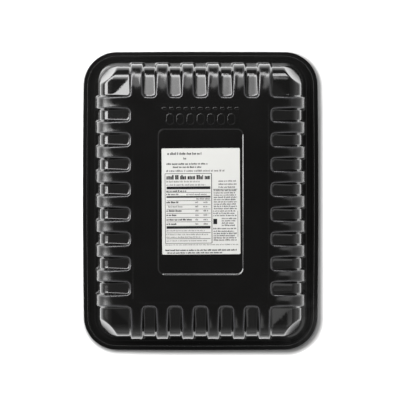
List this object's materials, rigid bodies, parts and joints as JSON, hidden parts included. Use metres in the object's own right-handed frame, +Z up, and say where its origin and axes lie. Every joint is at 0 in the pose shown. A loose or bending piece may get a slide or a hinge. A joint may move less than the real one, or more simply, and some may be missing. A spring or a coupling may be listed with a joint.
{
  "type": "sealed meat tray",
  "caption": "Shut black plastic meat tray lying film side down, with ribbed walls and a white paper label on its base.",
  "frame": {"origin": "middle of the pack's outline, on the underside of the closing film", "axes": "+X across the pack, +Y along the pack towards the picture's upper edge, +Z up from the film to the base of the tray"},
  "size_m": [0.178, 0.2256, 0.038],
  "materials": {
    "tray_plastic": "gloss black, thermoformed",
    "label_paper": "matt white paper with plain dark bars and rules",
    "lid_film": "thin satin film"
  },
  "bodies": {
    "root": {"tray": "tray_plastic", "base_label": "label_paper", "lid_film": "lid_film"}
  },
  "joints": []
}
